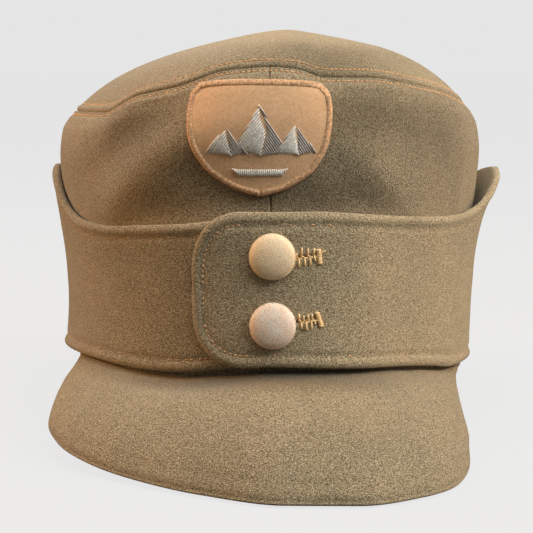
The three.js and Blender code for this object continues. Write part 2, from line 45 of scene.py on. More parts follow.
# The cap's sizes, as its solids have them
cap = {
    "headWidth": 158, "headLength": 202, "cloth": 2.2,
    "rimFront": 33.4, "seamFront": 146.6, "domeTop": 160.4,
    "seamHalfWidth": 82.7, "seamHalfLength": 101, "seamSetBack": 10,
    "seamSetAside": -0.8, "domeShift": 6.5, "domeFlat": 0.12,
    "domeSteepWidth": 45, "domeRim": 0.45, "sideBulge": 7.1,
    "endBulge": 8.5, "frontNarrowing": 0.03, "foldDepth": 4,
    "lumps": ((0.32, 24, 1), (0.13, 9, 2)),
    "sideGrid": (290, 1.15, 0.4, 6),
    "upGrid": (118, 1.15, 0.35, 8),
    "topGrid": (90, 2.2, 0.35, 12),
    "wallReach": 113, "topReach": 82,
    "sidePanelFlat": (0.29, 0.145),
    "topFlat": (0.168, 0.206),
}
rimHalfWidth = cap["headWidth"] / 2 + cap["cloth"]
rimHalfLength = cap["headLength"] / 2 + cap["cloth"]

# Round the crown: angle from the front, rim height share, seam height share
crownRows = np.array([
    (-180, 0, 0.76), (-155, 0, 0.768), (-138, 0.21, 0.79), (-120, 0.42, 0.818),
    (-100, 0.63, 0.848), (-82, 0.74, 0.866), (-60, 0.8, 0.872), (-51, 0.815, 0.877),
    (-45, 0.825, 0.898), (-38, 0.83, 0.925), (-25, 0.865, 0.95), (-11, 0.95, 0.99),
    (0, 1, 1), (7, 0.99, 0.995), (15, 0.965, 0.974), (27, 0.92, 0.973),
    (46, 0.8, 0.947), (61, 0.665, 0.921), (82, 0.6, 0.885), (100, 0.49, 0.858),
    (120, 0.33, 0.822), (138, 0.15, 0.79), (155, 0, 0.768), (180, 0, 0.76),
])

# Up the crown's wall: height share, bulge share at the sides, bulge share in front and behind
wallRows = np.array([
    (0, 0, 0), (0.22, 0.08, 0.05), (0.4, 0.25, 0.12), (0.55, 0.54, 0.32), (0.69, 0.84, 0.76),
    (0.82, 1, 1), (0.92, 0.82, 0.8), (0.97, 0.42, 0.45), (1, 0, 0),
])

# Dents and ridges of the crown: angle, height share, reach along and across as shares of the
# wall's height, slant from level, depth share
foldRows = [
    (-35, 0.875, 0.18, 0.065, 23, 0.8),
    (-36, 0.69, 0.2, 0.06, 30, -0.5),
    (-4, 0.62, 0.28, 0.09, 0, 0.5),
    (20, 0.86, 0.14, 0.065, 27, 0.75),
    (27, 0.69, 0.15, 0.055, -44, -0.55),
    (37, 0.84, 0.09, 0.07, 0, 0.3),
    (60, 0.76, 0.2, 0.03, 90, -0.3),
    (66, 0.74, 0.2, 0.035, 90, 0.3),
    (128, 0.8, 0.22, 0.12, -40, 0.45),
    (-132, 0.78, 0.24, 0.12, 40, 0.45),
    (180, 0.84, 0.24, 0.12, 0, 0.5),
]

# Along the ear flap: turn, low edge over the rim, high edge, stand-off above and at the foot
flapRows = np.array([
    (-20, 1, 0.882, 0, 0), (0, 1, 0.882, 0, 0), (10, 1, 0.882, 0, 0), (20, 1, 0.872, 0, 0),
    (33, 1, 0.851, 0.02, 0), (46, 1, 0.832, 0.05, 0), (58, 1, 0.822, 0.12, 0),
    (67, 1, 0.832, 0.35, 0), (75, 0.9, 0.875, 0.75, 0), (83, 0.6, 0.932, 1, 0),
    (91, 0.4, 0.955, 0.95, 0), (98, 0.3, 0.94, 0.75, 0), (106, 0.2, 0.905, 0.5, 0),
    (122, 0.1, 0.86, 0.25, 0), (138, 0, 0.825, 0.18, 0), (155, 0, 0.79, 0.25, 0), (180, 0, 0.745, 0.3, 0),
    (205, 0, 0.79, 0.2, 0), (222, 0, 0.85, 0.1, 0), (240, 0.1, 0.9, 0.02, 0.2),
    (256, 0.4, 0.945, 0, 0.8), (268, 0.7, 0.965, 0, 1), (277, 0.9, 0.942, 0, 1),
    (285, 1, 0.88, 0, 0.9), (293, 1, 0.825, 0, 0.6), (302, 1, 0.8, 0, 0.2),
    (312, 1, 0.797, 0, 0), (324, 1, 0.813, 0, 0), (336, 1, 0.828, 0, 0),
    (347, 1, 0.846, 0, 0), (358, 1, 0.85, 0, 0), (378, 1, 0.85, 0, 0),
])
flap = {
    "cloth": 3.2, "sideHeight": 107, "flare": 6,
    "standOff": 6.5, "footStandOff": 3.4, "gap": 0.45,
    "overPeak": 4.2, "tabEnd": -19.5, "underEnd": 378,
    "highCorner": 18, "lowCorner": 23, "tabMiddle": 0.48,
    "cornerShape": 2.3, "endShare": 0.24, "lapStart": 21,
    "lapLength": 18, "edgeReach": 14.0, "stitchInset": 4.8,
    "stitchValley": 0.55, "valleyWidth": 0.85, "edgePuff": 0.45,
    "puffInset": 2.4, "puffWidth": 1.4,
    "lumps": ((0.35, 30, 3), (0.12, 8, 4)),
    "thread": 0.26, "stitchShare": 0.62, "stitchSink": -0.04,
    "flat": (0.69, 0.103),
    "flatShare": 0.6,
}

# The peak's outer edge: rim angle, side share, share ahead, height share
peakRows = np.array([
    (-76, -0.88, 0.218, 0.68), (-70, -0.93, 0.305, 0.52), (-63, -0.977, 0.4, 0.37),
    (-55, -0.993, 0.493, 0.262), (-46, -0.925, 0.61, 0.164), (-37, -0.795, 0.715, 0.102),
    (-26, -0.6, 0.808, 0.042), (-13, -0.287, 0.92, 0.006), (0, 0.046, 0.995, 0),
    (13, 0.342, 0.997, 0), (26, 0.587, 0.937, 0), (38, 0.75, 0.845, 0), (50, 0.842, 0.67, 0.075),
    (58, 0.832, 0.528, 0.19), (65, 0.815, 0.404, 0.3), (70, 0.818, 0.304, 0.43),
])
peak = {
    "thickness": 3.4, "gap": 0.35, "reach": 58.1,
    "halfWidth": 86.5, "arch": 5.5, "archLean": 0.35,
    "edgeRadius": 1.3, "edgePuff": 0.12, "edgeValley": 0.1,
    "rootDip": 1.4, "rootDipAngle": -8,
    "lumps": ((0.2, 26, 5), (0.08, 8, 6)),
    "roundGrid": (190, 1.1, 0.4, 4),
    "outGrid": (62, 1.0, 0.16, 5),
    "rightEnd": 70, "leftEnd": -76,
}


def curve(rows, column, at):
    # A column of a table between its rows, on a curve that doesn't overshoot
    x, y = rows[:, 0], rows[:, column]
    step = np.diff(x)
    slope = np.diff(y) / step
    tangent = np.zeros(len(y))
    before, after = slope[:-1], slope[1:]
    steady = before * after > 0
    tangent[1:-1][steady] = 2 * before[steady] * after[steady] / (before + after)[steady]
    at = np.clip(at, x[0], x[-1])
    i = np.clip(np.searchsorted(x, at, side="right") - 1, 0, len(step) - 1)
    t = (at - x[i]) / step[i]
    ends = y[i] * (1 + 2 * t) * (1 - t) ** 2 + y[i + 1] * t * t * (3 - 2 * t)
    return ends + step[i] * (tangent[i] * t * (1 - t) ** 2 - tangent[i + 1] * t * t * (1 - t))


def smooth(start, end, value):
    t = np.clip((value - start) / (end - start), 0, 1)
    return t * t * (3 - 2 * t)


def bell(value, middle, spread):
    return np.exp(-(((value - middle) / spread) ** 2))


def roundEdge(distance, radius):
    # How full an edge is at a distance in from it, from 0 to 1
    return np.sqrt(1 - np.clip(1 - distance / radius, 0, 1) ** 2)


def lengths(line):
    # How far along a line of points each one lies
    return np.concatenate([[0], np.cumsum(np.linalg.norm(np.diff(line, axis=0), axis=1))])


def unit(v):
    return v / np.linalg.norm(v, axis=-1, keepdims=True)


def wrapped(angle):
    return (angle + 180) % 360 - 180


def rimHeight(angle):
    return cap["rimFront"] * curve(crownRows, 1, wrapped(angle))


def seamHeight(angle):
    return cap["seamFront"] * curve(crownRows, 2, wrapped(angle))


def shareUp(angle, height):
    # How far up the crown's wall a height is
    return (height - rimHeight(angle)) / (seamHeight(angle) - rimHeight(angle))


def flapHigh(turn):
    return flap["sideHeight"] * curve(flapRows, 2, turn)


def flapLow(turn):
    return rimHeight(turn) + flap["overPeak"] * curve(flapRows, 1, turn)


def foldAt(angle, up):
    # Depth of the crown's dents, which fade out beside the top seam and behind the flap
    depth = np.zeros(np.broadcast(angle, up).shape)
    for at, place, reach, width, slant, share in foldRows:
        aside = np.radians(wrapped(angle - at)) * rimHalfWidth / (cap["seamFront"] - cap["rimFront"])
        above = up - place
        c, n = math.cos(math.radians(slant)), math.sin(math.radians(slant))
        along, across = (aside * c + above * n) / reach, (above * c - aside * n) / width
        depth = depth + share * np.exp(-0.5 * (along**2 + across**2))
    height = rimHeight(angle) + up * (seamHeight(angle) - rimHeight(angle))
    clear = (height - flapHigh((angle - 18) % 360 + 18)) / flap["sideHeight"]
    return cap["foldDepth"] * depth * smooth(1, 0.94, up) * smooth(-0.05, 0.05, clear)


def onOval(angle, halfWidth, halfLength, moved, height):
    turn = np.radians(angle)
    width = halfWidth * (1 - cap["frontNarrowing"] * np.cos(turn))
    x = width * np.sin(turn) + cap["seamSetAside"] * moved
    y = cap["seamSetBack"] * moved - halfLength * np.cos(turn)
    return np.stack(np.broadcast_arrays(x, y, height), axis=-1)


def outwards(angle):
    turn = np.radians(angle)
    parts = (np.sin(turn) / rimHalfWidth, -np.cos(turn) / rimHalfLength, 0 * turn)
    return unit(np.stack(np.broadcast_arrays(*parts), axis=-1))


def wall(angle, up):
    # The crown's outer wall, from the rim at 0 to the seam at 1
    ends = np.cos(np.radians(angle)) ** 2
    side, end = cap["sideBulge"] * curve(wallRows, 1, up), cap["endBulge"] * curve(wallRows, 2, up)
    push = side + (end - side) * ends - foldAt(angle, up)
    halfWidth = rimHalfWidth + (cap["seamHalfWidth"] - rimHalfWidth) * up + push
    halfLength = rimHalfLength + (cap["seamHalfLength"] - rimHalfLength) * up + push
    height = rimHeight(angle) + up * (seamHeight(angle) - rimHeight(angle))
    return onOval(angle, halfWidth, halfLength, up, height)


def wallAtHeight(angle, height):
    point = wall(angle, np.clip(shareUp(angle, height), 0, 1))
    point[..., 2] = height
    return point


def dome(angle, ring):
    # The top panel, from its blunt middle at 0 to the seam at 1
    flat = cap["domeFlat"]
    slope = (np.hypot(ring, flat) - flat) / (math.hypot(1, flat) - flat)
    steep = bell(wrapped(angle), 0, cap["domeSteepWidth"])
    turned = cap["domeRim"] + 0.25 * steep
    share = (1 - turned) * slope + turned * ring ** (5 + 4 * steep)
    height = cap["domeTop"] + (seamHeight(angle) - cap["domeTop"]) * share
    point = onOval(angle, cap["seamHalfWidth"] * ring, cap["seamHalfLength"] * ring, 1, height)
    point[..., 0] += cap["domeShift"] * (1 - ring**2)
    return point


def crown(angle, along):
    # The whole crown: 0 at the rim, 1 at the seam, 2 in the middle of the top
    angle, along = np.broadcast_arrays(angle, along)
    onWall = wall(angle, np.clip(along, 0, 1))
    onTop = dome(angle, np.clip(2 - along, 0, 1))
    return np.where((along <= 1)[..., None], onWall, onTop)


def crownFace(angle, along):
    # The way out of the crown's cloth, turned to half way beside the seam
    def plain(place):
        place = np.broadcast_to(place, np.broadcast(angle, place).shape)
        around = crown(angle + 1, place) - crown(angle - 1, place)
        upwards = crown(angle, place + 0.01) - crown(angle, np.maximum(place - 0.01, 0))
        return unit(np.cross(around, upwards))
    mitre = unit(plain(0.95 + 0 * along) + plain(1.05 + 0 * along))
    share = smooth(0.05, 0, np.abs(along - 1))[..., None]
    return unit(plain(along) * (1 - share) + mitre * share)


def lumps(points, size, seed):
    # Smooth random unevenness, from -1 to 1, of bumps of a size in millimetres
    values = np.random.default_rng(seed).uniform(-1, 1, (32, 32, 32))
    spot = points / size
    cell = np.floor(spot).astype(int)
    t = spot - cell
    t = t * t * (3 - 2 * t)
    total = np.zeros(points.shape[:-1])
    for corner in range(8):
        step = np.array([corner & 1, corner >> 1 & 1, corner >> 2])
        weight = np.prod(np.where(step, t, 1 - t), axis=-1)
        x, y, z = np.moveaxis((cell + step) % 32, -1, 0)
        total += weight * values[x, y, z]
    return total


def uneven(points, kinds):
    # Several kinds of bumps together, each given by its depth, its size and its seed
    return sum(depth * lumps(points, size, seed) for depth, size, seed in kinds)


def places(length, coarse, fine, reach, start=True, end=True, spots=()):
    # Places from 0 to 1 along a length, closer together near its ends and in the spots, each
    # given by its middle, its reach to both sides and its step
    x = np.linspace(0, length, 3000)
    near = np.full(x.shape, reach, float)
    if start:
        near = np.minimum(near, x)
    if end:
        near = np.minimum(near, length - x)
    density = 1 / (fine + (coarse - fine) * near / reach)
    for middle, aside, step in spots:
        density = np.maximum(density, np.exp(-(((x - middle) / aside) ** 4)) / step)
    total = np.concatenate([[0], np.cumsum((density[1:] + density[:-1]) / 2 * np.diff(x))])
    return np.interp(np.linspace(0, total[-1], math.ceil(total[-1]) + 1), total, x) / length


def inFrame(points):
    return (points + rimMiddle) / 1000


def finished(name, shape, material):
    # A new piece, which rides on the cap's one body
    mesh = bpy.data.meshes.new(name)
    shape.to_mesh(mesh)
    shape.free()
    mesh.shade_smooth()
    mesh.materials.append(material)
    piece = bpy.data.objects.new(name, mesh)
    bpy.context.scene.collection.objects.link(piece)
    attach(piece, "root")
    return piece


def clothPiece(name, outer, inner, material, ring=False, painted_shade=0.0):
    # Rows of points go up the cloth, each running to the right as seen from outside
    rows, columns = outer.shape[:2]
    # Each point keeps a share of painted shade, which darkens the cloth's colour where shade falls
    shadeValues = np.broadcast_to(painted_shade, (rows, columns)).ravel().tolist()
    shape = bmesh.new()
    bmesh.ops.create_grid(shape, x_segments=columns - 1, y_segments=rows - 1, size=1)
    spot = shape.verts.layers.int.new("spot")
    shadeLayer = shape.verts.layers.float.new("painted_shade")
    outside = inFrame(outer.reshape(-1, 3)).tolist()
    lining = inFrame(inner.reshape(-1, 3)).tolist()
    for number, vertex in enumerate(shape.verts):
        vertex[spot] = number
        vertex[shadeLayer] = shadeValues[number]
        vertex.co = lining[number]
    if ring:
        bmesh.ops.remove_doubles(shape, verts=shape.verts[:], dist=1e-6)
    sheet = shape.verts[:] + shape.edges[:] + shape.faces[:]
    grown = bmesh.ops.extrude_face_region(shape, geom=sheet, use_keep_orig=True)["geom"]
    for vertex in grown:
        if isinstance(vertex, bmesh.types.BMVert):
            vertex.co = outside[vertex[spot]]
    shape.verts.layers.int.remove(spot)
    return finished(name, shape, material)


def threads(name, paths, radius, material, taper=(0.65, 1, 1, 0.65)):
    # Each path's points, in millimetres, become one short thread with closed ends
    line = bpy.data.curves.new(name, "CURVE")
    line.dimensions = "3D"
    line.bevel_depth = radius / 1000
    line.bevel_resolution = 1
    line.use_fill_caps = True
    for path in paths:
        spline = line.splines.new("POLY")
        spline.points.add(len(path) - 1)
        shares = np.interp(np.linspace(0, 1, len(path)), np.linspace(0, 1, len(taper)), taper)
        for point, place, share in zip(spline.points, inFrame(np.asarray(path)), shares):
            point.co = (*place, 1)
            point.radius = share
    holder = bpy.data.objects.new(name, line)
    drawn = bpy.data.meshes.new_from_object(holder)
    shape = bmesh.new()
    shape.from_mesh(drawn)
    bmesh.ops.remove_doubles(shape, verts=shape.verts[:], dist=1e-8)
    bpy.data.objects.remove(holder)
    bpy.data.curves.remove(line)
    bpy.data.meshes.remove(drawn)
    return finished(name, shape, material)


# Materials, each made of nodes that read the cap's own coordinates
def newMaterial(name, surface):
    material = bpy.data.materials.new(name)
    material.use_nodes = True
    shader = material.node_tree.nodes["Principled BSDF"]
    for socket, value in surface.items():
        shader.inputs[socket].default_value = value
    return material, material.node_tree, shader


def feed(tree, socket, value):
    # Joins a socket to another node's output, or gives it a number or a colour
    if isinstance(value, bpy.types.NodeSocket):
        tree.links.new(value, socket)
    elif isinstance(value, tuple) and socket.type == "RGBA":
        socket.default_value = (*value, 1)
    else:
        socket.default_value = value


def newNode(tree, kind, values):
    made = tree.nodes.new("ShaderNode" + kind)
    for socket, value in values.items():
        feed(tree, made.inputs[socket], value)
    return made


def mapped(tree, stretch=(1, 1, 1), turn=(0, 0, 0)):
    own = newNode(tree, "TexCoord", {}).outputs["Object"]
    return newNode(tree, "Mapping", {"Vector": own, "Scale": stretch, "Rotation": turn}).outputs["Vector"]


def noise(tree, scale, detail, rough, stretch=(1, 1, 1), turn=(0, 0, 0)):
    values = {"Vector": mapped(tree, stretch, turn), "Scale": scale, "Detail": detail, "Roughness": rough}
    return newNode(tree, "TexNoise", values).outputs["Fac"]


def stored(tree, name):
    # A value that the mesh keeps at each of its points
    attribute = newNode(tree, "Attribute", {})
    attribute.attribute_name = name
    return attribute.outputs["Fac"]


def blend(tree, factor, first, second, kind="MIX"):
    mix = newNode(tree, "Mix", {})
    mix.data_type = "RGBA"
    mix.blend_type = kind
    for number, value in ((0, factor), (6, first), (7, second)):
        feed(tree, mix.inputs[number], value)
    return mix.outputs[2]


def between(tree, value, low, high):
    return newNode(tree, "MapRange", {"From Min": low, "From Max": high, "Value": value}).outputs["Result"]


def layered(tree, colour, pattern, ramp, over):
    # Lays one colour over another as a pattern goes up its ramp
    return blend(tree, between(tree, pattern, *ramp), colour, over)


def sumOf(tree, first, second):
    return newNode(tree, "Math", {0: first, 1: second}).outputs["Value"]


def bumped(tree, shader, height, strength, depth):
    bump = newNode(tree, "Bump", {"Strength": strength, "Distance": depth / 1000, "Height": height})
    feed(tree, shader.inputs["Normal"], bump.outputs["Normal"])


# Painted shade darkens broad places where shade falls: the top behind its front seam, the peak
# under the flap, and the sides in their dents and just above the flap. Each is given by an angle,
# its spread and a strength on the top and the peak, and an angle, a height, their two spreads and a
# strength on the sides
wool = {
    "ground": (0.125, 0.092, 0.05),
    "layers": (
        ((0.36, 0.64), (0.44, 0.345, 0.215)),
        ((0.56, 0.74), (0.6, 0.49, 0.33)),
        ((0.55, 0.73), (0.07, 0.05, 0.027)),
        ((0.69, 0.76), (0.4, 0.22, 0.1)),
    ),
    "worn": (0.86, 0.9, 0.9),
    "wornRamp": (0.35, 0.75),
    # The colour that painted shade multiplies the wool by
    "paintedShadeColour": (0.22, 0.2, 0.17),
    # Where the painted light on the right side grows, from left to right across the cap
    "paintedLightAcross": (-0.06, 0.085),
    "grainSize": 2500, "fibreSize": 2300, "patchSize": 45,
    "bump": 0.6, "bumpDepth": 0.35,
    "surface": {
        "Roughness": 0.95,
        "Specular IOR Level": 0.15,
        "Sheen Weight": 0.35,
        "Sheen Roughness": 0.5,
        "Sheen Tint": (0.95, 0.85, 0.7, 1),
    },
    "topPaintedShade": (16, 24, 0.5),
    "peakPaintedShade": (-5, 34, 0.95),
    "sidePaintedShade": (
        (24, 127, 28, 12, 0.6),
        (-38, 122, 13, 10, 0.4),
        (12, 97, 17, 8, 0.5),
        (50, 117, 10, 14, 0.3),
    ),
}


def woolMaterial(name, along=(0.55, 0.55, 1), paintedRightLight=0.0):
    # Mottled felt: its layers are a fine grain, light fibres, dark fibres and a few rusty flecks,
    # each with a ramp and a colour. Painted shade, kept at each point of the mesh, darkens it where
    # shade falls. The third argument is painted light: how much paler the right side is made, as if
    # lit more strongly from the right
    material, tree, shader = newMaterial(name, wool["surface"])
    grain = noise(tree, wool["grainSize"], 1, 0.5)
    light = noise(tree, wool["fibreSize"], 2, 0.5, along, (0.25, 0.4, 0))
    dark = noise(tree, wool["fibreSize"], 2, 0.5, along, (-0.3, -0.5, 1.3))
    fleck = noise(tree, wool["fibreSize"] * 0.5, 2, 0.5, along, (0.1, 0.9, 0.6))
    patch = noise(tree, wool["patchSize"], 3, 0.6)
    colour = wool["ground"]
    for pattern, (ramp, over) in zip((grain, light, dark, fleck), wool["layers"]):
        colour = layered(tree, colour, pattern, ramp, over)
    worn = blend(tree, 1.0, colour, wool["worn"], "MULTIPLY")
    colour = layered(tree, colour, patch, wool["wornRamp"], worn)
    # Painted shade: the colour darkens as far as the stored shade share at each point says
    paintedShadeColour = blend(tree, 1.0, colour, wool["paintedShadeColour"], "MULTIPLY")
    colour = blend(tree, stored(tree, "painted_shade"), colour, paintedShadeColour)
    # Painted light: the right side turns paler, as if lit more strongly from the right
    if paintedRightLight:
        aside = newNode(tree, "SeparateXYZ", {0: mapped(tree)}).outputs["X"]
        paler = blend(tree, 1.0, colour, (1 + paintedRightLight,) * 3, "MULTIPLY")
        colour = layered(tree, colour, aside, wool["paintedLightAcross"], paler)
    feed(tree, shader.inputs["Base Color"], colour)
    bumped(tree, shader, sumOf(tree, grain, light), wool["bump"], wool["bumpDepth"])
    return material


def threadMaterial(name, colour, size=1400, shade=0.5):
    # Spun thread: darker between its strands
    material, tree, shader = newMaterial(name, {"Roughness": 0.6, "Sheen Weight": 0.2})
    strands = noise(tree, size, 2, 0.5)
    deep = tuple(part * shade for part in colour)
    bright = tuple(min(1, part * 1.3) for part in colour)
    feed(tree, shader.inputs["Base Color"], layered(tree, deep, strands, (0.3, 0.7), bright))
    bumped(tree, shader, strands, 0.4, 0.2)
    return material


sideWool = woolMaterial("wool_sides")
# The top and the flap get painted light on their right sides
topWool = woolMaterial("wool_top", (0.55, 1, 0.8), 0.25)
flapWool = woolMaterial("wool_flap", paintedRightLight=0.34)
peakWool = woolMaterial("wool_peak", (0.6, 0.8, 1))
seamThread = threadMaterial("thread_seam", (0.72, 0.39, 0.17))
holeThread = threadMaterial("thread_buttonhole", (1.0, 0.58, 0.28), 1400, 0.8)

# Seams and their topstitching
seam = {
    "rollRadius": 1.2, "frontRoll": 0.9, "frontSink": 0.12,
    "frontWidth": 3, "gap": 0.004, "topRow": 3.7,
    "sideRow": 2.1, "valley": 0.45, "valleyWidth": 0.75,
    "puff": 0.5, "stitchLength": 2.0, "thread": 0.33,
}


def rolled(distance, radius):
    # How far cloth turns in beside a seam
    return -radius * (1 - roundEdge(distance, radius))


def seamRate(angle, side):
    # Millimetres of cloth for each unit along the crown, below or above the seam
    a, b = crown(angle, 1 + 0.01 * side + 0 * angle), crown(angle, 1 + 0.04 * side + 0 * angle)
    return np.linalg.norm(a - b, axis=-1) / 0.03


def seamLength(angle):
    # How far round the top seam an angle is, in millimetres
    turns = np.linspace(-200, 200, 2001)
    points = crown(turns, 1 + 0 * turns)
    return np.interp(angle, turns, lengths(points))


def dimples(length, distance, row):
    # A stitched valley: cloth is drawn in along a row, more where each stitch goes through
    across = bell(distance, row, seam["valleyWidth"])
    through = 0.72 + 0.28 * np.cos(2 * np.pi * length / seam["stitchLength"])
    return -seam["valley"] * across * through


def crownRelief(angle, along):
    angle, along = np.broadcast_arrays(angle, along)
    points = crown(angle, along)
    below = along <= 1
    distance = np.abs(along - 1) * np.where(below, seamRate(angle, -1), seamRate(angle, 1))
    row = np.where(below, seam["sideRow"], seam["topRow"])
    relief = uneven(points, cap["lumps"]) + rolled(distance, seam["rollRadius"])
    relief = relief + dimples(seamLength(wrapped(angle)), distance, row)
    relief = relief + seam["puff"] * bell(distance, row * 0.5, row * 0.38)
    aside = np.minimum(np.abs(wrapped(angle)), 180 - np.abs(wrapped(angle)))
    aside = np.radians(aside) * np.linalg.norm(points[..., :2] - [0, cap["seamSetBack"]], axis=-1)
    roll = rolled(aside, seam["frontRoll"]) - seam["frontSink"] * bell(aside, 0, seam["frontWidth"])
    return relief + np.where(below, roll, 0) * smooth(0.0, 1.6, distance)


def crownSkin(angle, along):
    relief = crownRelief(angle, along)
    return crown(angle, along) + crownFace(angle, along) * relief[..., None]


def crownInside(angle, along):
    face = crownFace(angle, along)
    face[..., 2] *= smooth(0, 0.3, along)
    return crown(angle, along) - unit(face) * cap["cloth"]


# Painted shade on the side panels: dark patches in the crown's dents and just above the flap
def paintedShadeOnSides(angle, height):
    painted_shade = sum(strength * bell(angle, aside, wide) * bell(height, middle, tall)
                for aside, middle, wide, tall, strength in wool["sidePaintedShade"])
    return np.minimum(painted_shade, 1)


def sidePanel(name, node, side):
    halfGap = math.degrees(seam["gap"] / 2 / cap["seamHalfWidth"])
    start, end = (halfGap, 180 - halfGap) if side > 0 else (-180 + halfGap, -halfGap)
    angle = start + (end - start) * places(*cap["sideGrid"])
    up = places(*cap["upGrid"], start=False) * (1 - seam["gap"] / cap["wallReach"])
    outer, inner = [skin(angle[None, :], up[:, None]) for skin in (crownSkin, crownInside)]
    # How much painted shade darkens each point of the panel
    shadeMask = paintedShadeOnSides(wrapped(angle)[None, :], outer[..., 2])
    panel = clothPiece(name, outer, inner, sideWool, painted_shade=shadeMask)
    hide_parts(node)
    return panel


leftPanel = sidePanel("side_left_wool", "crown_panel_left", -1)
rightPanel = sidePanel("side_right_wool", "crown_panel_right", 1)
print("side panels made")

angle = np.linspace(-180, 180, 481)
gapShare = seam["gap"] / cap["topReach"]
along = 1 + gapShare + places(*cap["topGrid"], end=False) * (0.985 - gapShare)
faces = []
for skin in (crownSkin, crownInside):
    rows = skin(angle[None, :], along[:, None])
    middle = np.broadcast_to(rows[-1:].mean(axis=1, keepdims=True), rows[-1:].shape)
    faces.append(np.concatenate([rows, middle]))
outer, inner = faces
# Painted shade on the top just behind its front seam, where the panel turns down steeply
middle, wide, strength = wool["topPaintedShade"]
shadeMask = bell(angle, middle, wide)[None, :] * smooth(24, 9, (along - 1) * cap["topReach"])[:, None]
shadeMask = np.concatenate([shadeMask, 0 * shadeMask[-1:]]) * strength
top = clothPiece("top_wool", outer, inner, topWool, ring=True, painted_shade=shadeMask)
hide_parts("crown_top")
width, length = cap["topFlat"]
print("top made")

# The ear flap on its unrolled plane: s along it, height up it
flapTurns = np.linspace(flap["tabEnd"], flap["underEnd"], 2400)


def lapLift(turn):
    share = smooth(flap["lapStart"] + flap["lapLength"], flap["lapStart"], turn)
    return np.where(turn > 180, 0, (flap["cloth"] + 0.3) * share)


def flapBase(turn, height):
    # The flap's inner face, before its thickness
    low, high = flapLow(turn), flapHigh(turn)
    up = np.clip((height - low) / (high - low), 0, 1)
    stand = flap["standOff"] * curve(flapRows, 3, turn) * up ** flap["flare"]
    foot = flap["footStandOff"] * curve(flapRows, 4, turn) * (1 - up) ** flap["flare"]
    away = flap["gap"] + lapLift(turn) + stand + foot
    return wallAtHeight(turn, height) + outwards(turn) * away[..., None]


flapLine = flapBase(flapTurns, (flapLow(flapTurns) + flapHigh(flapTurns)) / 2)
flapS = lengths(flapLine[:, :2])


def tabShare(turn, cornerLength):
    # The share of its height that the tab has beside its round end
    bend = 1 - np.clip(np.radians(turn - flap["tabEnd"]) * rimHalfWidth / cornerLength, 0, 1)
    return flap["endShare"] + (1 - flap["endShare"]) * np.sqrt(1 - bend ** flap["cornerShape"])


def flapEdges(turn):
    # Heights of the flap's low and high edges, drawn together at the tab's round end
    low, high = flapLow(turn), flapHigh(turn)
    middle = low + flap["tabMiddle"] * (high - low)
    below, above = tabShare(turn, flap["lowCorner"]), tabShare(turn, flap["highCorner"])
    return middle + (low - middle) * below, middle + (high - middle) * above


def evenly(line, step):
    length = lengths(line)
    spots = np.arange(0, length[-1], step)
    return np.stack([np.interp(spots, length, line[:, k]) for k in range(line.shape[1])], 1)


lowEdge, highEdge = flapEdges(flapTurns)
outline = evenly(np.concatenate([
    np.stack([flapS[::-1], highEdge[::-1]], 1),
    np.stack([np.zeros(20), np.linspace(highEdge[0], lowEdge[0], 22)[1:-1]], 1),
    np.stack([flapS, lowEdge], 1),
]), 0.8)


def edgeDistance(s, height):
    # How far a place on the flap is from the flap's nearest edge, up to the edge's reach
    spots = np.stack([s.ravel(), height.ravel()], 1)
    far = flap["edgeReach"]
    found = np.full(len(spots), far)
    for start in range(0, len(outline), 64):
        part = outline[start:start + 64]
        reach = (spots[:, 0] > part[:, 0].min() - far) & (spots[:, 0] < part[:, 0].max() + far)
        gaps = np.linalg.norm(spots[reach, None] - part[None], axis=2).min(axis=1)
        found[reach] = np.minimum(found[reach], gaps)
    return found.reshape(s.shape)


button = {
    "diameter": 17.0, "dome": 4.2, "rim": 1.1,
    "stand": 0.5, "shank": 1.3, "lip": 0.35,
    "angle": 0.3,
    "heights": (78.3, 53.2),
    "press": 0.5, "pressWidth": 11, "pebble": 0.6,
    "pebbleHeight": 0.17,
}
# Each buttonhole beside its button's middle: the slit's ends, stitches above and below it as
# distance and length, and the bar across its end
hole = {
    "thread": 0.38, "sink": 0.5, "depth": 0.95,
    "slitWidth": 0.45, "lip": 0.22,
    "slits": (((7.5, -0.9), (16.4, 0.1)), ((7.5, 0.9), (15.9, 1.9))),
    "above": (((8.6, 1.8), (10.6, 3.7), (12.9, 3.1), (14.9, 2.8)),
              ((9.8, 2.9), (11.3, 2.1), (13.1, 2.3), (14.4, 2.2))),
    "below": (((7.7, 2.6), (9.7, 3.2), (11.8, 3.3), (13.7, 3.2), (15.3, 1.8)),
              ((10.5, 2.6), (12.4, 3.4), (14.3, 3.5), (15.6, 1.6))),
    "bars": (((16.9, 2.5), (17.5, -3.1)), ((16.4, 4.6), (18.1, -0.9))),
    "barWidth": 0.9,
    "looseEnd": ((17.6, 0.6), (18.4, 1.4), (19.2, 1.9)),
}


def slitHeight(k, aside):
    # Height of a buttonhole's slit beside its button's middle
    (startAside, startHeight), (endAside, endHeight) = hole["slits"][k]
    share = np.clip((aside - startAside) / (endAside - startAside), 0, 1)
    return button["heights"][k] + startHeight + (endHeight - startHeight) * share


